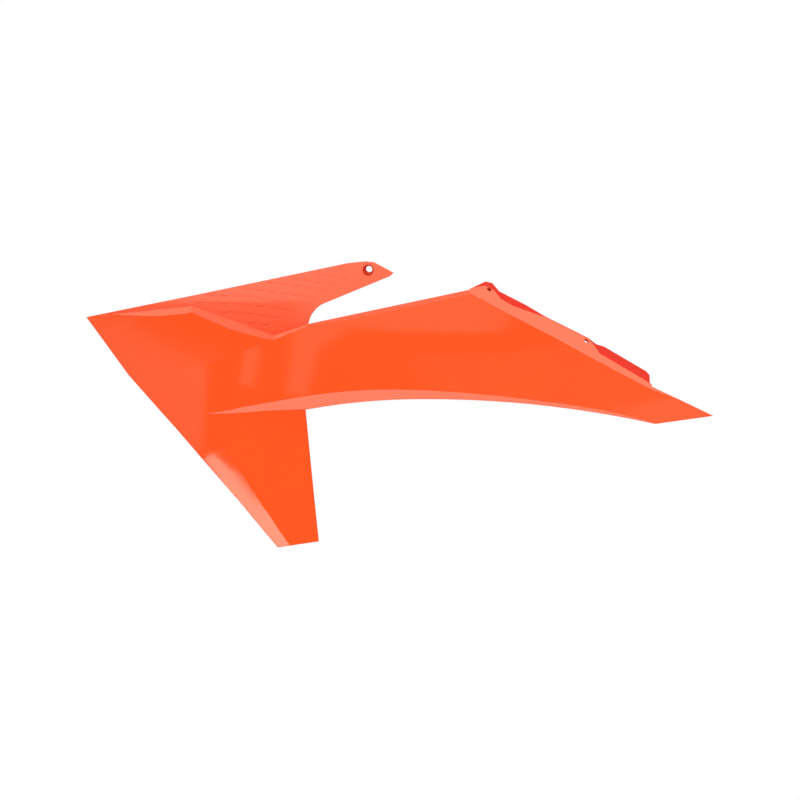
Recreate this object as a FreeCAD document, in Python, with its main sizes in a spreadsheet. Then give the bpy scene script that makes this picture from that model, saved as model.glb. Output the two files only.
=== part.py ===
import FreeCAD, Part
import math
import os
import Sketcher
from FreeCAD import Placement, Rotation, Vector

# Left radiator shroud of a dirt bike, one injection moulding.
# The frame of this file is the panel as it hangs beside the bike: X runs back along the tail, -Y faces out
# from the bike, Z is up, and the origin is the middle of the upper bolt recess's floor. Sizes are in mm.

# Sizes and places, in mm and degrees. Names that end in x or z are places on the drawn outline
SIZES = {
    # Overall size, which the outline's places are stretched to, and the wall
    "length": 638.5,
    "height": 290.9,
    "wall": 2.8,
    "margin": 50,
    "block_back": 240,

    # Eight even stations run from ahead of the nose to past the tail
    "station_lead": 28.8,
    "station_trail": 32.7,

    # Main face, crowned from top to bottom, with its depth at each station
    "crown_radius": 600,
    "crown_z": -89,
    "nose_depth": 29.8,
    "brow_depth": 5.6,
    "neck_depth": -9.3,
    "waist_depth": -12.4,
    "belly_depth": -12.5,
    "hip_depth": -11.9,
    "tail_depth": -10.8,
    "end_depth": -9,

    # Shallow dish of the front wing, as its sink below the main face at one height. Past the neck it stands
    # in front of the main face, so the two cross at the valley of the step line
    "dish_z": -60,
    "dish_nose": 5.3,
    "dish_brow": 4.43,
    "dish_neck": 2.0,
    "dish_waist": -2.5,
    "dish_belly": -8,
    "dish_hip": -14,
    "dish_tail": -20,
    "dish_end": -26,
    "dish_angle": 5.5,
    "dish_nose_angle": 3.5,

    # Lower fin, set deeper than the main face toward its rear edge
    "fin_joint_x": -166,
    "fin_slope": 0.0777,
    "fin_sink": 1.93,
    "fin_crown_z": -116.3,

    # Step line where the glossy panel stands proud of the textured arm, and its bevel
    "nose_x": -291.2,
    "nose_z": -47.2,
    "brow_x": -179.6,
    "brow_z": -36.6,
    "shoulder_x": -137.4,
    "shoulder_z": -52.1,
    "valley_x": -95.7,
    "valley_z": -67.4,
    "throat_x": -61.4,
    "throat_z": -55.8,
    "ledge_start_x": 100.5,
    "ledge_start_z": -21.4,
    "nose_edge_y": 28.8,
    "brow_edge_y": 6.9,
    "shoulder_edge_y": -0.1,
    "valley_edge_y": -8,
    "throat_edge_y": -9.9,
    "ledge_edge_y": -6.9,
    "bevel_angle": 30,
    "return_depth": 8.5,

    # Lower crease of the body and the bevel under it
    "low_angle": -34,
    "low_nose_z": -175.1,
    "low_brow_z": -153.3,
    "low_neck_z": -138.4,
    "low_waist_z": -123.3,
    "low_belly_z": -123.8,
    "low_hip_z": -134.0,
    "low_tail_z": -153.1,
    "low_end_z": -180.5,

    # Ledge along the top of the tail
    "ledge_angle": 40,
    "ledge_front_x": 98.2,
    "ledge_front_y": -8.7,
    "ledge_front_z": -22.2,
    "ledge_mid_x": 191.2,
    "ledge_mid_y": -11.4,
    "ledge_mid_z": -71.8,
    "ledge_rear_x": 284.2,
    "ledge_rear_y": -9.8,
    "ledge_rear_z": -121.8,
    "lip_y": 8,

    # Textured arm, crowned, with its depth and lean at the first five stations
    "arm_radius": 200,
    "arm_z": -34,
    "arm_reach": 75,
    "arm_nose": 36,
    "arm_brow": 18.2,
    "arm_neck": 2.6,
    "arm_waist": -5.8,
    "arm_belly": 0,
    "arm_angle_nose": 10,
    "arm_angle_brow": 10,
    "arm_angle_neck": 9,
    "arm_angle_waist": -4,
    "arm_angle_belly": -14,

    # Outline of the whole moulding
    "front_mid_x": -245.3,
    "front_mid_z": -106.9,
    "front_low_x": -194.5,
    "front_low_z": -162.9,
    "front_toe_x": -133.2,
    "front_toe_z": -234.3,
    "fin_front_x": -93.8,
    "fin_front_z": -283.3,
    "fin_rear_x": -51.8,
    "fin_rear_z": -277.1,
    "armpit_x": -64.2,
    "armpit_z": -142.3,
    "belly_x": 55,
    "belly_z": -131.6,
    "belly_front_radius": 640,
    "belly_rear_radius": 1065,
    "tail_low_x": 289,
    "tail_low_z": -156.6,
    "tail_tip_x": 347.3,
    "tail_tip_z": -148.4,
    "lip_foot_x": 285.4,
    "lip_foot_z": -118.8,
    "lip_end_x": 285,
    "lip_end_z": -107,
    "lip_corner_x": 281.4,
    "lip_corner_z": -103.1,
    "lip_rear_x": 238.9,
    "lip_rear_z": -78.1,
    "ear_rear_x": 230.7,
    "ear_rear_z": -75.6,
    "ear_front_x": 222.5,
    "ear_front_z": -69.2,
    "lip_mid_x": 179.3,
    "lip_mid_z": -47.6,
    "lobe_foot_x": 132.3,
    "lobe_foot_z": -21.9,
    "lobe_rear_x": 125,
    "lobe_rear_z": -13.4,
    "lip_front_x": 159.8,
    "lip_front_z": -36.1,
    "lobe_start_x": 104,
    "lobe_start_z": -18.5,
    "lobe_front_x": 118.2,
    "lobe_front_z": -11.9,
    "arm_brow_x": -182.7,
    "arm_brow_z": -26.4,
    "arm_top_x": -22,
    "arm_top_z": 5.8,
    "arm_crown_x": -3,
    "arm_crown_z": 7.6,
    "arm_shoulder_x": 5,
    "arm_shoulder_z": 6.6,
    "arm_tip_x": 24.7,
    "arm_tip_z": -4,
    "arm_chin_x": 21.5,
    "arm_chin_z": -7.3,
    "notch_rear_x": -43,
    "notch_rear_z": -33.7,
    "notch_front_x": -60.9,
    "notch_front_z": -53.5,
    "notch_radius": 27,

    # Land of the ledge, the part that stands over the lip
    "land_start_z": -19.6,
    "land_peak_z": -16.2,
    "land_ear_x": 126.5,
    "land_ear_z": -20.8,
    "land_dip_x": 133.2,
    "land_dip_z": -29.8,
    "land_low_x": 146,
    "land_low_z": -37.2,
    "land_mid_gap": 1.1,
    "land_back_x": 227.5,
    "land_back_z": -76,
    "land_turn_x": 233.4,
    "land_turn_z": -85.3,
    "land_end_x": 286,
    "land_end_z": -116.6,

    # Upper bolt recess
    "recess_radius": 5.6,
    "bolt_radius": 3.3,
    "boss_radius": 8.4,
    "boss_height": 14,
    "bolt_reach": 42,
    "bolt_turn_angle": 7.5,
    "bolt_dip_angle": 12.3,

    # Small holes of the two ledge ears
    "ear_hole_radius": 2.4,
    "ear_hole_length": 12,
    "front_ear_x": 121.8,
    "front_ear_z": -20.3,
    "rear_ear_x": 220.2,
    "rear_ear_z": -72.6,

    # Hidden ends: how far the hollow stops from the step line, and the arm's lap behind the body
    "edge_drop": 2.97,
    "edge_left": 7,
    "edge_dip": 4.86,
    "far_edge_y": 44.6,
    "arm_lap": 5.6,
    "arm_lap_right": 0.56,
    "arm_hollow_lap": 11.2,
    "arm_hollow_right": 1.4,
    "arm_foot_rise": 0.84,
    "arm_clear": 33.6,
    "return_run": 53.2,
    "lip_run": 11.2,
    "ledge_end_drop": 17.8,
}

doc = FreeCAD.newDocument("shroud")
sheet = doc.addObject("Spreadsheet::Sheet", "dims")
for row, (name, value) in enumerate(SIZES.items(), 1):
    sheet.set("A%d" % row, name)
    sheet.set("B%d" % row, str(value))
    sheet.setAlias("B%d" % row, name)
doc.recompute()


# The drawn outline is stretched to the overall length and height
STRETCH = {
    "x": ("dims.length / (dims.tail_tip_x - dims.nose_x)",
          SIZES["length"] / (SIZES["tail_tip_x"] - SIZES["nose_x"])),
    "z": ("dims.height / (dims.arm_crown_z - dims.fin_front_z)",
          SIZES["height"] / (SIZES["arm_crown_z"] - SIZES["fin_front_z"])),
}


def add(*parts):
    """Sums sizes into a formula and its present value. A part is a size's name, a name after a minus sign,
    or the result of an earlier sum. Places on the outline are stretched."""
    text = []
    number = 0.0
    for part in parts:
        if isinstance(part, tuple):
            text.append("(%s)" % part[0])
            number += part[1]
            continue
        name = part.lstrip("-")
        sign = -1 if part.startswith("-") else 1
        stretch_text, stretch = STRETCH.get(name[-1] if name[-2:-1] == "_" else "", ("1", 1.0))
        text.append("(%d * dims.%s * %s)" % (sign, name, stretch_text))
        number += sign * SIZES[name] * stretch
    return " + ".join(text), number


def minus(formula):
    """Turns a formula's sign."""
    return "-(%s)" % formula[0], -formula[1]


def drive(sketch, edge, axis, formula, end=1):
    """Ties one coordinate of an edge's end to a formula."""
    text, number = formula
    place = sketch.addConstraint(Sketcher.Constraint("Distance" + axis, -1, 1, edge, end, number))
    sketch.setExpression("Constraints[%d]" % place, text)


def arc_between(start, end, radius):
    """Gives the short arc from start to end, counter-clockwise, as sketch geometry."""
    chord = end - start
    half = chord.Length / 2
    rise = math.sqrt(radius ** 2 - half ** 2)
    side = Vector(-chord.y, chord.x, 0).normalize()
    centre = start + chord / 2 + side * rise
    first = math.atan2(start.y - centre.y, start.x - centre.x)
    last = math.atan2(end.y - centre.y, end.x - centre.x)
    if last < first:
        last += 2 * math.pi
    return Part.ArcOfCircle(Part.Circle(centre, Vector(0, 0, 1), radius), first, last)


def closed_sketch(name, corners, arcs, placement):
    """Draws a closed outline of driven corners. An arc is its edge's number, its radius and whether it
    bulges outward."""
    sketch = doc.addObject("Sketcher::SketchObject", name)
    sketch.Placement = placement
    spots = [Vector(across[1], up[1], 0) for across, up in corners]
    starts = []
    ends = []
    for index, spot in enumerate(spots):
        after = spots[(index + 1) % len(spots)]
        if index in arcs:
            radius, forward = arcs[index]
            curve = arc_between(spot, after, radius[1]) if forward else arc_between(after, spot, radius[1])
            sketch.addGeometry(curve, False)
            starts.append(1 if forward else 2)
            ends.append(2 if forward else 1)
        else:
            sketch.addGeometry(Part.LineSegment(spot, after), False)
            starts.append(1)
            ends.append(2)
    count = len(spots)
    for index in range(count):
        after = (index + 1) % count
        sketch.addConstraint(Sketcher.Constraint("Coincident", index, ends[index], after, starts[after]))
    for index, (across, up) in enumerate(corners):
        drive(sketch, index, "X", across, starts[index])
        drive(sketch, index, "Y", up, starts[index])
    for index, (radius, _) in arcs.items():
        place = sketch.addConstraint(Sketcher.Constraint("Radius", index, radius[1]))
        sketch.setExpression("Constraints[%d]" % place, radius[0])
    return sketch


# Room around the outline, and the stations

FAR_LEFT = add("nose_x", "-margin")
FAR_RIGHT = add("tail_tip_x", "margin")
FAR_UP = add("arm_crown_z", "margin")
FAR_DOWN = add("fin_front_z", "-margin")
CROWN_REACH = add("crown_z", minus(FAR_DOWN))
PLACES = ["nose", "brow", "neck", "waist", "belly", "hip", "tail", "end"]
STATIONS = {}
for number, place in enumerate(PLACES):
    run = add("length", "station_lead", "station_trail")
    share = (" %d / %d" % (number, len(PLACES) - 1), number / (len(PLACES) - 1))
    first = add("nose_x", "-station_lead")
    STATIONS[place] = ("%s + (%s) * %s" % (first[0], run[0], share[0]), first[1] + run[1] * share[1])


# Faces as lofted blocks

CROSS_PLANE = Rotation(Vector(1, 1, 1), 120)


def lengths(y, z, lean, below, above, inset, bow):
    """Gives the two ends of a face's line in a cross plane: its point moved in by the inset, then both ways
    along the lean."""
    slant = math.radians(lean[1])
    ends = []
    for sign, reach in ((-1, below), (1, above)):
        y_text = "(%s) + (%s) * cos(%s) + %d * (%s) * sin(%s)" % (
            y[0], inset[0], lean[0], sign, reach[0], lean[0])
        z_text = "(%s) - (%s) * sin(%s) + %d * (%s) * cos(%s)" % (
            z[0], inset[0], lean[0], sign, reach[0], lean[0])
        y_now = y[1] + inset[1] * math.cos(slant) + sign * reach[1] * math.sin(slant)
        z_now = z[1] - inset[1] * math.sin(slant) + sign * reach[1] * math.cos(slant)
        if bow is not None:
            y_text += " + (%s) * cos(%s)" % (bow[0], lean[0])
            z_text += " - (%s) * sin(%s)" % (bow[0], lean[0])
            y_now += bow[1] * math.cos(slant)
            z_now -= bow[1] * math.sin(slant)
        ends.append(((y_text, y_now), (z_text, z_now)))
    return ends


def face_block(name, stations, ruled, inset, radius=None, reach=None):
    """Lofts everything behind a face. A station is x, y, z and lean, and the face passes through it."""
    sections = []
    back = add("block_back")
    for number, (x, y, z, lean) in enumerate(stations, 1):
        bow = None
        arcs = {}
        if radius is not None:
            curve = ("(%s) - (%s)" % (radius[0], inset[0]), radius[1] - inset[1])
            bow_text = "(%s) - sqrt((%s)^2 - (%s)^2)" % (curve[0], curve[0], reach[0])
            bow = (bow_text, curve[1] - math.sqrt(curve[1] ** 2 - reach[1] ** 2))
            arcs = {0: (curve, False)}
            low, high = lengths(y, z, lean, reach, reach, inset, bow)
        else:
            slant = math.radians(lean[1])
            below = ("((%s) - (%s)) / cos(%s)" % (z[0], FAR_DOWN[0], lean[0]),
                     (z[1] - FAR_DOWN[1]) / math.cos(slant))
            above = ("((%s) - (%s)) / cos(%s)" % (FAR_UP[0], z[0], lean[0]),
                     (FAR_UP[1] - z[1]) / math.cos(slant))
            low, high = lengths(y, z, lean, below, above, inset, bow)
        corners = [low, high, (back, high[1]), (back, low[1])]
        placement = Placement(Vector(x[1], 0, 0), CROSS_PLANE)
        sketch = closed_sketch("%s_section_%d" % (name, number), corners, arcs, placement)
        sketch.setExpression("Placement.Base.x", x[0])
        sections.append(sketch)
    loft = doc.addObject("Part::Loft", name)
    loft.Sections = sections
    loft.Solid = True
    loft.Ruled = ruled
    return loft


NO_INSET = ("0", 0.0)
WALL_INSET = add("wall")
LEVEL = ("0", 0.0)


def pair(name, stations, ruled, radius=None, reach=None):
    """Makes a face's block and the same block set in by the wall, for the hollow behind it."""
    return (face_block(name + "_face", stations, ruled, NO_INSET, radius, reach),
            face_block(name + "_back", stations, ruled, WALL_INSET, radius, reach))


panel_stations = []
dish_stations = []
fin_stations = []
low_stations = []
for place in PLACES:
    x = STATIONS[place]
    depth = add(place + "_depth")
    panel_stations.append((x, depth, add("crown_z"), LEVEL))
    lean = add("dish_nose_angle") if place == "nose" else add("dish_angle")
    dish_stations.append((x, add(place + "_depth", "dish_" + place), add("dish_z"), lean))
    past_joint = add(x, minus(add("fin_joint_x")))
    fin_depth = ("%s + (%s) * dims.fin_slope + dims.fin_sink" % (depth[0], past_joint[0]),
                 depth[1] + past_joint[1] * SIZES["fin_slope"] + SIZES["fin_sink"])
    fin_stations.append((x, fin_depth, add("fin_crown_z"), LEVEL))
    crease = add("low_%s_z" % place)
    off_crown = add(crease, "-crown_z")
    radius = SIZES["crown_radius"]
    low_depth = ("%s + dims.crown_radius - sqrt(dims.crown_radius^2 - (%s)^2)" % (depth[0], off_crown[0]),
                 depth[1] + radius - math.sqrt(radius ** 2 - off_crown[1] ** 2))
    low_stations.append((x, low_depth, crease, add("low_angle")))

panel = pair("panel", panel_stations, False, add("crown_radius"), CROWN_REACH)
dish = pair("dish", dish_stations, False)
fin = pair("fin", fin_stations, False, add("crown_radius"), CROWN_REACH)
low = pair("low_bevel", low_stations, False)

# The bevel's line runs past both ends of the step line
STEP = ["nose", "brow", "shoulder", "valley", "throat"]
bevel_stations = [(FAR_LEFT, add("far_edge_y"), add("nose_z"), add("bevel_angle"))]
for place in STEP:
    bevel_stations.append((add(place + "_x"), add(place + "_edge_y"), add(place + "_z"),
                           add("bevel_angle")))
bevel_stations.append((add("ledge_start_x"), add("ledge_edge_y"), add("ledge_start_z"), add("bevel_angle")))
bevel_stations.append((FAR_RIGHT, add("ledge_edge_y"), FAR_UP, add("bevel_angle")))
bevel = pair("bevel", bevel_stations, True)

# The ledge's crease clears the body ahead of it, and keeps above the tail tip's edge behind the lip
ledge_stations = [(FAR_LEFT, add("ledge_front_y"), FAR_UP, add("ledge_angle")),
                  (add("throat_x"), add("ledge_front_y"), FAR_UP, add("ledge_angle"))]
for place in ("front", "mid", "rear"):
    ledge_stations.append((add("ledge_%s_x" % place), add("ledge_%s_y" % place), add("ledge_%s_z" % place),
                           add("ledge_angle")))
ledge_stations.append((FAR_RIGHT, add("ledge_rear_y"), add("tail_tip_z", "-ledge_end_drop"),
                       add("ledge_angle")))
ledge = pair("ledge", ledge_stations, True)

arm_stations = []
for place in PLACES[:5]:
    arm_stations.append((STATIONS[place], add("arm_" + place), add("arm_z"), add("arm_angle_" + place)))
arm = pair("arm", arm_stations, False, add("arm_radius"), add("arm_reach"))


# Outlines, drawn in the plane of the panel and carried through it

FRONT_PLANE = Rotation(Vector(1, 0, 0), 90)


def prism(name, corners, arcs, front, back):
    """Extrudes an outline of the panel's plane from one depth to another."""
    sketch = closed_sketch(name + "_outline", corners, arcs, Placement(Vector(0, front[1], 0), FRONT_PLANE))
    sketch.setExpression("Placement.Base.y", front[0])
    solid = doc.addObject("Part::Extrusion", name)
    solid.Base = sketch
    solid.DirMode = "Custom"
    solid.Dir = Vector(0, 1, 0)
    solid.setExpression("LengthFwd", "(%s) - (%s)" % (back[0], front[0]))
    solid.Solid = True
    return solid


def spot(name, right=LEVEL, up=LEVEL):
    """Gives a point of the drawn outline, moved by formulas."""
    return add(name + "_x", right), add(name + "_z", up)


FRONT = minus(add("block_back"))
BACK = add("block_back")
rim = prism("rim", [
    spot("nose"), spot("arm_brow"), spot("arm_top"), spot("arm_crown"), spot("arm_shoulder"),
    spot("arm_tip"), spot("arm_chin"), spot("notch_rear"), spot("notch_front"), spot("throat"),
    spot("ledge_start"), spot("lobe_start"), spot("lobe_front"), spot("lobe_rear"), spot("lobe_foot"),
    spot("lip_front"), spot("lip_mid"),
    spot("ear_front"), spot("ear_rear"), spot("lip_rear"), spot("lip_corner"), spot("lip_end"),
    spot("lip_foot"), spot("tail_tip"), spot("tail_low"), spot("belly"), spot("armpit"),
    spot("fin_rear"), spot("fin_front"), spot("front_toe"), spot("front_low"), spot("front_mid"),
], {7: (add("notch_radius"), True), 24: (add("belly_rear_radius"), True),
    25: (add("belly_front_radius"), True)}, FRONT, BACK)

# The body lies below the step line, and the hollow behind it stops short of that line
body_zone = prism("body_zone", [
    (FAR_LEFT, add("nose_z", "wall")), *[spot(place) for place in STEP], spot("ledge_start"),
    (add("ledge_start_x"), FAR_UP), (FAR_RIGHT, FAR_UP), (FAR_RIGHT, FAR_DOWN), (FAR_LEFT, FAR_DOWN),
], {}, FRONT, BACK)
drop = add("-edge_drop")
body_hollow_zone = prism("body_hollow_zone", [
    (FAR_LEFT, add("nose_z")), *[spot(place, LEVEL, drop) for place in STEP],
    spot("ledge_start", add("-edge_left"), add("-edge_dip")), (add("ledge_start_x", "-edge_left"), FAR_UP),
    (FAR_RIGHT, FAR_UP), (FAR_RIGHT, FAR_DOWN), (FAR_LEFT, FAR_DOWN),
], {}, FRONT, BACK)

# The arm lies above the step line and runs a little way behind the body's edge
arm_zones = []
for name, lap, right in (("arm_zone", "-arm_lap", "arm_lap_right"),
                         ("arm_hollow_zone", "-arm_hollow_lap", "arm_hollow_right")):
    arm_zones.append(prism(name, [
        (FAR_LEFT, add("nose_z", lap)), (FAR_LEFT, FAR_UP), (add("arm_tip_x", "arm_clear"), FAR_UP),
        (add("arm_tip_x", "arm_clear"), add("ledge_start_z", "wall")),
        spot("throat", add(right), add("arm_foot_rise")), spot("throat", add(right), add(lap)),
        *[spot(place, LEVEL, add(lap)) for place in ("valley", "shoulder", "brow", "nose")],
    ], {}, FRONT, BACK))


# Solids

def common(name, one, other):
    """Keeps what two solids share."""
    result = doc.addObject("Part::Common", name)
    result.Base = one
    result.Tool = other
    return result


def cut(name, one, other):
    """Takes one solid out of another."""
    result = doc.addObject("Part::Cut", name)
    result.Base = one
    result.Tool = other
    return result


def fuse(name, solids):
    """Joins solids into one."""
    result = doc.addObject("Part::MultiFuse", name)
    result.Shapes = solids
    result.Refine = False
    return result


def body_of(side, zone, name):
    """Crosses the body's faces into one solid: 0 for the outer skin, 1 for the hollow behind it."""
    foot = fuse(name + "_foot", [low[side], fin[side]])
    crossed = common(name + "_panel", panel[side], foot)
    crossed = common(name + "_dish", crossed, dish[side])
    crossed = common(name + "_bevel", crossed, bevel[side])
    crossed = common(name + "_ledge", crossed, ledge[side])
    return common(name, crossed, zone)


body_skin = body_of(0, body_zone, "body_skin")
body_hollow = body_of(1, body_hollow_zone, "body_hollow")
arm_skin = common("arm_skin", arm[0], arm_zones[0])
arm_hollow = common("arm_hollow", arm[1], arm_zones[1])

# The land stands over the lip: the strip above it is cut down to the lip's face
gap = add("-land_mid_gap")
land_corners = [
    (add("ledge_start_x", "-lip_run"), add("land_start_z", "wall")),
    (add("ledge_start_x"), add("land_start_z")),
    (add("lobe_front_x"), add("land_peak_z")),
    spot("land_ear"), spot("land_dip"), spot("land_low"),
    spot("lip_mid", LEVEL, gap), spot("ear_front", LEVEL, gap),
    spot("land_back"), spot("land_turn"), spot("land_end"),
    (FAR_RIGHT, add("land_end_z")), (FAR_RIGHT, FAR_UP), (add("ledge_start_x", "-lip_run"), FAR_UP),
]
land_cut = prism("land_cut", land_corners, {}, FRONT, add("lip_y"))
land_inner = prism("land_hollow_cut", land_corners, {}, FRONT, add("lip_y"))
crease_fall = "atan((%s) / (%s))" % (add("ledge_front_z", minus(add("ledge_rear_z")))[0],
                                     add("ledge_rear_x", minus(add("ledge_front_x")))[0])
land_inner.setExpression("Placement.Base.x", "-dims.wall * sin(%s)" % crease_fall)
land_inner.setExpression("Placement.Base.y", "dims.wall")
land_inner.setExpression("Placement.Base.z", "-dims.wall * cos(%s)" % crease_fall)

# The free top edge turns in by the return depth, and the ledge's lip ends a wall behind its face
trim_corners = [
    (add("throat_x", "arm_foot_rise"), add("throat_edge_y", "return_depth")),
    (add("ledge_start_x", "-return_run"), add("ledge_edge_y", "return_depth")),
    (add("ledge_start_x", "-lip_run"), add("lip_y", "wall")),
    (FAR_RIGHT, add("lip_y", "wall")),
    (FAR_RIGHT, add("block_back", "wall")),
    (add("throat_x", "arm_foot_rise"), add("block_back", "wall")),
]
trim_foot = add("armpit_z", "wall")
trim_plan = closed_sketch("trim_plan", trim_corners, {},
                          Placement(Vector(0, 0, trim_foot[1]), Rotation()))
trim_plan.setExpression("Placement.Base.z", trim_foot[0])
trim_block = doc.addObject("Part::Extrusion", "trim_block")
trim_block.Base = trim_plan
trim_block.DirMode = "Custom"
trim_block.Dir = Vector(0, 0, 1)
trim_block.setExpression("LengthFwd", add(FAR_UP, "block_back")[0])
trim_block.Solid = True

# The lip itself is a plate one wall thick, which shows above the land
lip_plate = prism("lip_plate", land_corners, {}, add("lip_y"), add("lip_y", "wall"))
body_landed = cut("body_landed", body_skin, land_cut)
body_trimmed = cut("body_trimmed", body_landed, trim_block)
hollow_landed = cut("hollow_landed", body_hollow, land_inner)
skin = fuse("skin", [body_trimmed, arm_skin])
hollow = fuse("hollow", [hollow_landed, arm_hollow])
shell = cut("shell", skin, hollow)
lipped = fuse("lipped", [shell, lip_plate])
moulding = common("moulding", lipped, rim)


# Upper bolt recess: a cup behind the arm's skin, its pocket, and the bolt hole through the pocket's floor

def rod(name, radius, base, length):
    """Stands a cylinder on the bolt's axis, which leans as the bolt does; base and length run inward."""
    result = doc.addObject("Part::Cylinder", name)
    result.setExpression("Radius", radius)
    result.setExpression("Height", length)
    result.setExpression("Placement.Rotation.Yaw", "-dims.bolt_turn_angle")
    result.setExpression("Placement.Rotation.Roll", "-90 + dims.bolt_dip_angle")
    for axis, share in (("x", "sin(dims.bolt_turn_angle) * cos(dims.bolt_dip_angle)"),
                        ("y", "cos(dims.bolt_turn_angle) * cos(dims.bolt_dip_angle)"),
                        ("z", "sin(dims.bolt_dip_angle)")):
        result.setExpression("Placement.Base." + axis, "(%s) * %s" % (base, share))
    return result


boss = rod("boss", "dims.boss_radius", "-dims.boss_height", "dims.boss_height + dims.wall")
recess = rod("recess", "dims.recess_radius", "-dims.bolt_reach", "dims.bolt_reach")
bolt_hole = rod("bolt_hole", "dims.bolt_radius", "-dims.wall", "dims.bolt_reach")
boss_behind = common("boss_behind", boss, arm_skin)
boss_kept = common("boss_kept", boss_behind, rim)
with_boss = fuse("with_boss", [moulding, boss_kept])
with_recess = cut("with_recess", with_boss, recess)
with_bolt_hole = cut("with_bolt_hole", with_recess, bolt_hole)

# Small holes through the ledge's two ears, square to its face


def ear_hole(name, place, before, after):
    """Drills one ear from outside, square to the ledge's face between two points of its crease."""
    result = doc.addObject("Part::Cylinder", name)
    result.setExpression("Radius", "dims.ear_hole_radius")
    result.setExpression("Height", "dims.ear_hole_length")
    run, sink, drop = [add("ledge_%s_%s" % (after, axis), "-ledge_%s_%s" % (before, axis))[0]
                       for axis in "xyz"]
    x, z = [add("%s_ear_%s" % (place, axis))[0] for axis in "xz"]
    nearness = "(%s) / (%s)" % (add(place + "_ear_x", "-ledge_%s_x" % before)[0], run)
    crease_y = "(%s) + %s * (%s)" % (add("ledge_%s_y" % before)[0], nearness, sink)
    crease_z = "(%s) + %s * (%s)" % (add("ledge_%s_z" % before)[0], nearness, drop)
    face_y = "%s + ((%s) - (%s)) * tan(dims.ledge_angle)" % (crease_y, z, crease_z)
    fall = "atan(((%s) / tan(dims.ledge_angle) - (%s)) / (%s))" % (sink, drop, run)
    tilt = "atan(tan(dims.ledge_angle) / cos(%s))" % fall
    # The cylinder's axis starts out along -Y and turns by the tilt, then by the fall about Y
    away = ["sin(%s) * sin(%s)" % (tilt, fall), "-cos(%s)" % tilt, "sin(%s) * cos(%s)" % (tilt, fall)]
    result.setExpression("Placement.Rotation.Angle", "acos(%s)" % away[2])
    result.setExpression("Placement.Rotation.Axis.x", "-(%s)" % away[1])
    result.setExpression("Placement.Rotation.Axis.y", away[0])
    result.setExpression("Placement.Rotation.Axis.z", "0")
    for axis, at_face, share in zip("xyz", (x, face_y, z), away):
        result.setExpression("Placement.Base." + axis,
                             "%s - dims.ear_hole_length / 2 * (%s)" % (at_face, share))
    return result


front_ear_hole = ear_hole("front_ear_hole", "front", "front", "mid")
rear_ear_hole = ear_hole("rear_ear_hole", "rear", "mid", "rear")
drilled_front = cut("drilled_front", with_bolt_hole, front_ear_hole)
finished = cut("shroud_panel", drilled_front, rear_ear_hole)
finished.Label = "shroud_panel"

doc.recompute()
for thing in doc.Objects:
    if "Invalid" in thing.State or "Error" in thing.State:
        raise RuntimeError("%s is %s" % (thing.Name, thing.State))
    if hasattr(thing, "Shape"):
        if thing.Shape.isNull() or not thing.Shape.isValid():
            raise RuntimeError("%s has no valid shape" % thing.Name)
if len(finished.Shape.Solids) != 1:
    raise RuntimeError("the moulding has %d solids" % len(finished.Shape.Solids))

os.makedirs("parts", exist_ok=True)
finished.Shape.exportStep("parts/%s.step" % finished.Label)
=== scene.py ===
import math

import bmesh
import bpy
from mathutils import Matrix, Vector
from mathutils.bvhtree import BVHTree


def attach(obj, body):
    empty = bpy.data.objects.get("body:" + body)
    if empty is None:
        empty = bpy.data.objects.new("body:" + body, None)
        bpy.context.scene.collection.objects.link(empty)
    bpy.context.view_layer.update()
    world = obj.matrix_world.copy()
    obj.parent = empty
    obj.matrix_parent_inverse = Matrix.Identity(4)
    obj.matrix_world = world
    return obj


MM = 0.001

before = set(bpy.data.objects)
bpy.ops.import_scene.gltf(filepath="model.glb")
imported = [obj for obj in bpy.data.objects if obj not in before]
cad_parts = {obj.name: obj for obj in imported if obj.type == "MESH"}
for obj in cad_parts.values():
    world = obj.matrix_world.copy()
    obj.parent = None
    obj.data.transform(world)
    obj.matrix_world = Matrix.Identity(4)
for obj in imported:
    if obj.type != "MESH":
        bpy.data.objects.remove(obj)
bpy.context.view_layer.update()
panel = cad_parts["shroud_panel"]


# Places that the materials and the grip need, in mm in the part's own frame

# The line of the step below the arm, as x and z, from the front tip to the tail's upper edge.
# Its mask changes over 1 / STEP_SHARPNESS, in metres.
STEP_LINE = [(-291.2, -47.2), (-179.6, -36.6), (-95.7, -67.4), (-61.4, -55.8), (100.5, -21.4)]
STEP_LINE_DEPTH = 70
STEP_MARGIN = 0.2
STEP_SHARPNESS = 2000

# How far a face has to be turned to -Y before it counts as the outer face, and how sharply
FACE_SIDE = 0.25
FACE_SHARPNESS = 8

# The arm's soft fold, shown as painted shade: the colour is darker below this height and in front of this
# end
FOLD_HEIGHT = -33
FOLD_SOFTNESS = 5
FOLD_END = -66
FOLD_END_SOFTNESS = 34

# Plastic colours, linear
BODY_COLOUR = (0.95, 0.086, 0.0105, 1)
BODY_DEEP = (0.93, 0.08, 0.0095, 1)
ARM_COLOUR = (0.95, 0.13, 0.056, 1)
# painted shade: the arm's colour below its fold, darker where its face turns down, away from the light
ARM_PAINTED_SHADE = (0.93, 0.085, 0.018, 1)
BACK_COLOUR = (0.86, 0.06, 0.008, 1)
# painted shade: the lip behind the ledge is coloured dark red where it lies in shadow
LIP_PAINTED_SHADE = (0.78, 0.026, 0.003, 1)

# The lip behind the ledge, whose colour is painted shade, starts this far back and this far along
LIP_BACK = 4.5
LIP_BACK_SOFTNESS = 2
LIP_START = 98
LIP_START_SOFTNESS = 4

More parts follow.
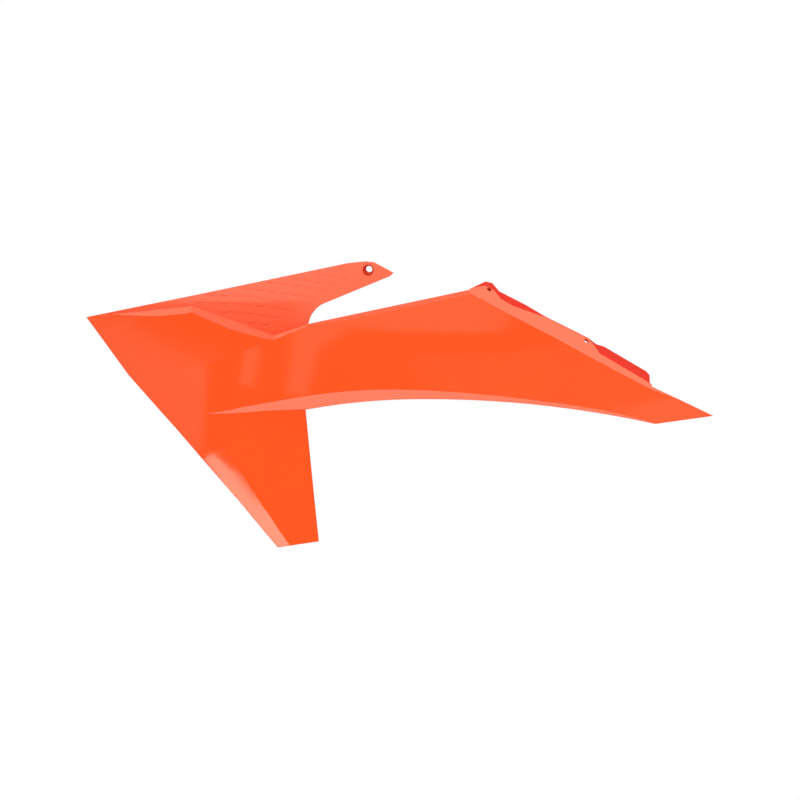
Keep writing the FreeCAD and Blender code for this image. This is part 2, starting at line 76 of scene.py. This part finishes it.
# Finish of the plastic: roughness, and how fine its changes are
GLOSS_ROUGHNESS = 0.06
GLOSS_SPREAD = 0.03
GLOSS_SCALE = 35
MATTE_ROUGHNESS = 0.4
MATTE_SPREAD = 0.1
MATTE_SCALE = 120
BACK_ROUGHNESS = 0.34
LIP_ROUGHNESS = 0.6
CLOUD_SCALE = 9
EDGE_RADIUS = 0.9
EDGE_SAMPLES = 6
GRAIN_SCALE = 1400
GRAIN_ROUGHNESS = 0.6
GRAIN_DEPTH = 0.08
GRAIN_STRENGTH = 0.5

# Rows of the grip: height at GRIP_REFERENCE, first middle, count, half length, rise of the right end
GRIP_REFERENCE = -120.4
GRIP_SPACING = 12.54
GRIP_FALL = 0.14
GRIP_FALL_LEFT = 0.035
GRIP_ROWS = [
    (13.3, -38.7, 2, 4.3, 0.3),
    (4.8, -51.0, 3, 4.5, 0.3),
    (-3.0, -74.9, 4, 4.6, 0.3),
    (-10.5, -98.5, 5, 4.8, 0.4),
    (-19.5, -134.8, 7, 5.2, 0.6),
    (-27.3, -158.8, 7, 5.2, 0.9),
    (-35.3, -171.4, 8, 5.9, 2.0),
    (-44.4, -145.3, 5, 6.3, 2.9),
    (-53.5, -117.3, 2, 5.2, 2.6),
]
GRIP_STEPS = 12
GRIP_HEIGHT = 0.65
GRIP_HALF_WIDTH = 0.85
GRIP_SINK = 0.3
GRIP_SHOULDER = 0.72
GRIP_END_SIZE = 0.25
GRIP_TURN = -0.2
GRIP_BOW = 0.3


# Camera

CAMERA_PLACE = (31.3, -1912, -132.4)
CAMERA_LENS = 85
CAMERA_SENSOR = 36

camera = bpy.data.objects.new("camera", bpy.data.cameras.new("camera"))
bpy.context.scene.collection.objects.link(camera)
camera.location = Vector(CAMERA_PLACE) * MM
camera.rotation_euler = (math.radians(90), 0, 0)
camera.data.lens = CAMERA_LENS
camera.data.sensor_width = CAMERA_SENSOR
bpy.context.scene.camera = camera
bpy.context.scene.view_settings.view_transform = "Standard"


# Light

WORLD_LIGHT = 0.18
MIDDLE = (30, 0, -130)
WARM = (1, 0.97, 0.8)
ACROSS = (1, 0, 0)
FIN_LIGHT_RUN = (0.5, 0.866, 0)


def world_light():
    """A soft even room, with plain white for the camera."""
    world = bpy.data.worlds.new("room")
    bpy.context.scene.world = world
    world.use_nodes = True
    tree = world.node_tree
    tree.nodes.clear()
    seen = tree.nodes.new("ShaderNodeBackground")
    seen.inputs["Color"].default_value = (1, 1, 1, 1)
    lit = tree.nodes.new("ShaderNodeBackground")
    lit.inputs["Color"].default_value = (1, 1, 1, 1)
    lit.inputs["Strength"].default_value = WORLD_LIGHT
    path = tree.nodes.new("ShaderNodeLightPath")
    mix = tree.nodes.new("ShaderNodeMixShader")
    out = tree.nodes.new("ShaderNodeOutputWorld")
    tree.links.new(path.outputs["Is Camera Ray"], mix.inputs[0])
    tree.links.new(lit.outputs[0], mix.inputs[1])
    tree.links.new(seen.outputs[0], mix.inputs[2])
    tree.links.new(mix.outputs[0], out.inputs["Surface"])


def softbox(name, place, aim, width, height, glow, along=None, tint=(1, 1, 1)):
    """A rectangular soft light in mm; glow is how bright its face looks, where 1 is white.

    Without an aim it looks straight back, along +Y.
    """
    place = Vector(place)
    back = (place - Vector(aim)).normalized() if aim else Vector((0, -1, 0))
    side = Vector(along) if along else Vector((-back.y, back.x, 0))
    side = (side - back * side.dot(back)).normalized()
    data = bpy.data.lights.new(name, "AREA")
    data.shape = "RECTANGLE"
    data.size = width * MM
    data.size_y = height * MM
    data.energy = glow * math.pi * data.size * data.size_y
    data.color = tint
    lamp = bpy.data.objects.new(name, data)
    bpy.context.scene.collection.objects.link(lamp)
    lamp.location = place * MM
    lamp.rotation_euler = Matrix((side, back.cross(side), back)).transposed().to_euler()
    lamp.visible_camera = False


def leaning(degrees):
    """Direction of a light's width when its upper end leans to the right by so many degrees."""
    angle = math.radians(degrees)
    return (math.cos(angle), 0, -math.sin(angle))


world_light()

# Large lights that the smooth faces don't mirror to the camera
softbox("overhead", (100, -900, 1700), MIDDLE, 1800, 1200, 1.4)
softbox("front_high", (0, -2300, 1500), MIDDLE, 1700, 800, 4.4)
softbox("front_right", (1900, -1700, 500), MIDDLE, 1200, 1600, 4.4)
softbox("front_left", (-1700, -1300, 1500), MIDDLE, 1000, 1000, 3.5)

# Weaker lights whose outlines show as the pale bands on the gloss
softbox("band_narrow", (-710, -2600, -150), None, 130, 400, 0.85, leaning(10), WARM)
softbox("band_wide", (-335, -2600, -60), None, 140, 720, 0.85, leaning(7), WARM)
softbox("band_joint", (-250, -2600, 190), None, 150, 230, 0.85, leaning(32), WARM)
softbox("band_top", (-30, -2600, 480), None, 720, 420, 0.85, leaning(8), WARM)
softbox("window_left", (-2020, -2600, -270), None, 1700, 1700, 0.78, leaning(8), WARM)
softbox("low_right", (1020, -2600, -860), None, 680, 760, 0.95, leaning(-12), WARM)
softbox("haze_right", (900, -2600, -500), None, 1500, 1300, 0.26, leaning(-12), WARM)

# Lights for the parts that are turned up, down or back
softbox("ledge_light", (900, 20, 1160), (180, 0, -60), 700, 700, 2.4, None, WARM)
softbox("step_light", (-980, -530, 1260), (-234, 16, -43), 700, 700, 2.5, None, WARM)
softbox("under_light", (40, -300, -790), (40, -300, 0), 800, 260, 3.2, ACROSS, WARM)
softbox("fin_light", (-443, -1014, -790), (-443, -1014, 0), 1250, 70, 6.2, FIN_LIGHT_RUN, WARM)


# Floor, below the part

FLOOR_HEIGHT = -800
FLOOR_HALF = 1200
FLOOR_GREY = (0.8, 0.8, 0.8, 1)
FLOOR_ROUGHNESS = 0.8

bpy.ops.mesh.primitive_plane_add(size=2 * FLOOR_HALF * MM, location=(0, 0, FLOOR_HEIGHT * MM))
floor = bpy.context.object
floor.name = "floor"
floor.visible_glossy = False
floor_paint = bpy.data.materials.new("floor_paint")
floor_paint.use_nodes = True
floor_shader = floor_paint.node_tree.nodes["Principled BSDF"]
floor_shader.inputs["Base Color"].default_value = FLOOR_GREY
floor_shader.inputs["Roughness"].default_value = FLOOR_ROUGHNESS
floor.data.materials.append(floor_paint)


# Materials

class Paint:
    """Small helper that adds nodes to one material."""

    def __init__(self, name):
        self.material = bpy.data.materials.new(name)
        self.material.use_nodes = True
        self.tree = self.material.node_tree
        self.shader = self.tree.nodes["Principled BSDF"]
        self.place = self.tree.nodes.new("ShaderNodeTexCoord").outputs["Object"]

    def put(self, source, socket):
        self.tree.links.new(source, socket)

    def math(self, operation, first, second=None, clamp=False):
        node = self.tree.nodes.new("ShaderNodeMath")
        node.operation = operation
        node.use_clamp = clamp
        for socket, value in zip(node.inputs, (first, second)):
            if value is None:
                continue
            if isinstance(value, (int, float)):
                socket.default_value = value
            else:
                self.put(value, socket)
        return node.outputs[0]

    def split(self, vector):
        node = self.tree.nodes.new("ShaderNodeSeparateXYZ")
        self.put(vector, node.inputs[0])
        return node.outputs

    def mix_numbers(self, share, first, second):
        return self.math("ADD", self.math("MULTIPLY", self.math("SUBTRACT", 1.0, share), first),
                         self.math("MULTIPLY", share, second))

    def mix_colours(self, share, first, second):
        node = self.tree.nodes.new("ShaderNodeMix")
        node.data_type = "RGBA"
        self.put(share, node.inputs["Factor"])
        for socket, value in ((node.inputs[6], first), (node.inputs[7], second)):
            if isinstance(value, tuple):
                socket.default_value = value
            else:
                self.put(value, socket)
        return node.outputs[2]

    def noise(self, scale, detail, roughness=0.5):
        node = self.tree.nodes.new("ShaderNodeTexNoise")
        node.inputs["Scale"].default_value = scale
        node.inputs["Detail"].default_value = detail
        node.inputs["Roughness"].default_value = roughness
        self.put(self.place, node.inputs["Vector"])
        return node.outputs["Fac"]

    def varied(self, least, spread, scale):
        """A number that changes gently over the surface."""
        return self.math("ADD", least, self.math("MULTIPLY", self.noise(scale, 3.0), spread))

    def ramp(self, source, stops):
        node = self.tree.nodes.new("ShaderNodeValToRGB")
        while len(node.color_ramp.elements) < len(stops):
            node.color_ramp.elements.new(0.5)
        for element, (position, value) in zip(node.color_ramp.elements, stops):
            element.position = position
            element.color = (value, value, value, 1)
        self.put(source, node.inputs[0])
        return node.outputs[0]

    def below(self, value, limit, softness):
        """One where the value is under the limit, in mm, with a soft change."""
        return self.math("DIVIDE", self.math("SUBTRACT", (limit + softness / 2) * MM, value),
                         softness * MM, clamp=True)

    def above(self, value, limit, softness):
        """One where the value is over the limit, in mm, with a soft change."""
        return self.math("SUBTRACT", 1.0, self.below(value, limit, softness))


def arm_mask(paint):
    """One above the step line, where the face has its fine grain, and the place's x, y and z."""
    x, y, z = paint.split(paint.place)
    first, last = STEP_LINE[0][0], STEP_LINE[-1][0]
    along = paint.math("DIVIDE", paint.math("SUBTRACT", x, first * MM), (last - first) * MM)
    line = paint.ramp(along, [((a - first) / (last - first), -b / STEP_LINE_DEPTH) for a, b in STEP_LINE])
    height = paint.math("ADD", z, paint.math("MULTIPLY", line, STEP_LINE_DEPTH * MM))
    above = paint.math("SUBTRACT", height, STEP_MARGIN * MM)
    return paint.math("MULTIPLY", above, STEP_SHARPNESS, clamp=True), x, y, z


def facing_out(paint):
    """One where the face looks out from the bike, zero on edges and the back."""
    node = paint.tree.nodes.new("ShaderNodeNewGeometry")
    outward = paint.math("MULTIPLY", paint.split(node.outputs["Normal"])[1], -1.0)
    return paint.math("MULTIPLY", paint.math("SUBTRACT", outward, FACE_SIDE), FACE_SHARPNESS, clamp=True)


def arm_finish(paint, x, z):
    """Colour and roughness of the matte arm, with painted shade below its fold."""
    fold = paint.math("MULTIPLY", paint.below(z, FOLD_HEIGHT, FOLD_SOFTNESS),
                      paint.below(x, FOLD_END, FOLD_END_SOFTNESS))
    colour = paint.mix_colours(fold, ARM_COLOUR, ARM_PAINTED_SHADE)
    return colour, paint.varied(MATTE_ROUGHNESS, MATTE_SPREAD, MATTE_SCALE)


def grain(paint, strength, normal=None):
    """The fine grain, as bumps; strength is a number, or a mask that is one where the grain is."""
    bump = paint.tree.nodes.new("ShaderNodeBump")
    bump.inputs["Distance"].default_value = GRAIN_DEPTH * MM
    paint.put(paint.noise(GRAIN_SCALE, 2.0, GRAIN_ROUGHNESS), bump.inputs["Height"])
    if isinstance(strength, float):
        bump.inputs["Strength"].default_value = strength
    else:
        paint.put(paint.math("MULTIPLY", strength, GRAIN_STRENGTH), bump.inputs["Strength"])
    if normal:
        paint.put(normal, bump.inputs["Normal"])
    paint.put(bump.outputs[0], paint.shader.inputs["Normal"])


def moulding_paint():
    paint = Paint("orange_plastic")
    arm, x, y, z = arm_mask(paint)
    out = facing_out(paint)
    # the lip behind the ledge gets painted shade in its colour
    lip_shade = paint.math("MULTIPLY", paint.above(y, LIP_BACK, LIP_BACK_SOFTNESS),
                     paint.above(x, LIP_START, LIP_START_SOFTNESS))
    arm_colour, matte = arm_finish(paint, x, z)

    body = paint.mix_colours(paint.noise(CLOUD_SCALE, 2.0), BODY_COLOUR, BODY_DEEP)
    face = paint.mix_colours(out, BACK_COLOUR, paint.mix_colours(arm, body, arm_colour))
    paint.put(paint.mix_colours(lip_shade, face, LIP_PAINTED_SHADE), paint.shader.inputs["Base Color"])

    gloss = paint.varied(GLOSS_ROUGHNESS, GLOSS_SPREAD, GLOSS_SCALE)
    face_roughness = paint.mix_numbers(out, BACK_ROUGHNESS, paint.mix_numbers(arm, gloss, matte))
    paint.put(paint.mix_numbers(lip_shade, face_roughness, LIP_ROUGHNESS), paint.shader.inputs["Roughness"])

    edge = paint.tree.nodes.new("ShaderNodeBevel")
    edge.samples = EDGE_SAMPLES
    edge.inputs["Radius"].default_value = EDGE_RADIUS * MM
    grain(paint, arm, edge.outputs[0])
    return paint.material


def grip_paint():
    paint = Paint("grained_plastic")
    x, y, z = paint.split(paint.place)
    # the ridges get the same painted shade below the fold as the arm
    colour, matte = arm_finish(paint, x, z)
    paint.put(colour, paint.shader.inputs["Base Color"])
    paint.put(matte, paint.shader.inputs["Roughness"])
    grain(paint, GRAIN_STRENGTH)
    return paint.material


panel.data.materials.clear()
panel.data.materials.append(moulding_paint())


# Grip: rows of low curved ridges on the arm

def panel_surface():
    """The panel's faces, ready to cast rays on."""
    shape = bmesh.new()
    shape.from_mesh(panel.data)
    tree = BVHTree.FromBMesh(shape)
    shape.free()
    return tree


def on_face(tree, x, z):
    """What the camera sees through a place on the plane y = 0: the face's point and its direction."""
    start = Vector(CAMERA_PLACE) * MM
    ray = (Vector((x, 0, z)) * MM - start).normalized()
    point, normal, index, distance = tree.ray_cast(start, ray)
    return point, normal


def ridge_spots(tree, x, z, half, rise):
    """Points of the face under one ridge, each with the face's direction and the ridge's size there."""
    for step in range(GRIP_STEPS + 1):
        t = 2 * step / GRIP_STEPS - 1
        turn = max(0.0, (t - GRIP_TURN) / (1 - GRIP_TURN))
        lift = rise * turn ** 2 + GRIP_BOW * t * t
        point, normal = on_face(tree, x + half * t, z + lift - GRIP_FALL * half * t)
        yield point, normal, GRIP_END_SIZE + (1 - GRIP_END_SIZE) * math.sqrt(1 - t * t)


def ridge(shape, tree, x, z, half, rise):
    """One ridge: flat on the left, turned up on the right, thin at both ends.

    One that would run off the edge of the panel is left out.
    """
    spots = list(ridge_spots(tree, x, z, half, rise))
    if any(point is None for point, normal, size in spots):
        return
    shoulder = GRIP_SHOULDER * GRIP_HEIGHT
    profile = [(-1, -GRIP_SINK), (-0.5, shoulder), (0, GRIP_HEIGHT), (0.5, shoulder),
               (1, -GRIP_SINK), (0, -2 * GRIP_SINK)]
    rings = []
    for point, normal, size in spots:
        side = normal.cross(Vector((1, 0, 0))).normalized() * (GRIP_HALF_WIDTH * size * MM)
        outward = normal * (size * MM)
        rings.append([shape.verts.new(point + side * u + outward * v) for u, v in profile])
    for first, second in zip(rings, rings[1:]):
        for i in range(len(profile)):
            j = (i + 1) % len(profile)
            shape.faces.new((first[i], first[j], second[j], second[i]))
    shape.faces.new(rings[0])
    shape.faces.new(reversed(rings[-1]))


def grip_texture():
    """All the ridges, as one piece."""
    tree = panel_surface()
    shape = bmesh.new()
    for height, first, count, half, rise in GRIP_ROWS:
        for index in range(count):
            x = first + GRIP_SPACING * index
            run = x - GRIP_REFERENCE
            z = height - run * (GRIP_FALL if run > 0 else GRIP_FALL_LEFT)
            ridge(shape, tree, x, z, half, rise)
    bmesh.ops.recalc_face_normals(shape, faces=shape.faces)
    mesh = bpy.data.meshes.new("grip_texture")
    shape.to_mesh(mesh)
    shape.free()
    mesh.polygons.foreach_set("use_smooth", [True] * len(mesh.polygons))
    piece = bpy.data.objects.new("grip_texture", mesh)
    bpy.context.scene.collection.objects.link(piece)
    piece.data.materials.append(grip_paint())
    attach(piece, "root")


grip_texture()
